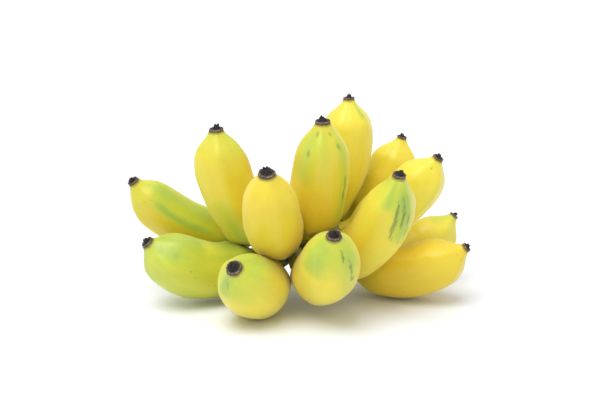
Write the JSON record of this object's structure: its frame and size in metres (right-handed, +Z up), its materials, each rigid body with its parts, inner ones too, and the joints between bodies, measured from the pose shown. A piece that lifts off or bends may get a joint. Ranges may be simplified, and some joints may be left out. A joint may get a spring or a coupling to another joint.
{
  "type": "hand of bananas",
  "caption": "Hand of short, plump bananas: two rows of curved fruit fan round a flat-cut crown and end in dried flower remains. It lies on the bellies of its lower row.",
  "frame": {"origin": "on the table, under the middle of the hand's bounding box", "axes": "+X to the hand's right as it faces the viewer, along its longest side; -Y to the front, where the lower row points; +Z up"},
  "size_m": [0.217, 0.1364, 0.1282],
  "materials": {
    "peel": "waxy satin banana peel, yellow with green at the tips and along some ridges",
    "crown_skin": "fibrous green-brown crown, paler and dry on the cut face",
    "dried_flower": "dry, wrinkled, dark brown flower remains"
  },
  "bodies": {
    "root": {"crown": "crown_skin", "banana_upper_1": "peel", "banana_upper_2": "peel", "banana_upper_3": "peel", "banana_upper_4": "peel", "banana_upper_5": "peel", "banana_upper_6": "peel", "banana_upper_7": "peel", "banana_lower_1": "peel", "banana_lower_2": "peel", "banana_lower_3": "peel", "banana_lower_4": "peel", "banana_lower_5": "peel", "banana_lower_6": "peel", "flower_end_upper_1": "dried_flower", "flower_end_upper_2": "dried_flower", "flower_end_upper_3": "dried_flower", "flower_end_upper_4": "dried_flower", "flower_end_upper_5": "dried_flower", "flower_end_upper_6": "dried_flower", "flower_end_upper_7": "dried_flower", "flower_end_lower_1": "dried_flower", "flower_end_lower_2": "dried_flower", "flower_end_lower_3": "dried_flower", "flower_end_lower_4": "dried_flower", "flower_end_lower_5": "dried_flower", "flower_end_lower_6": "dried_flower"}
  },
  "joints": []
}
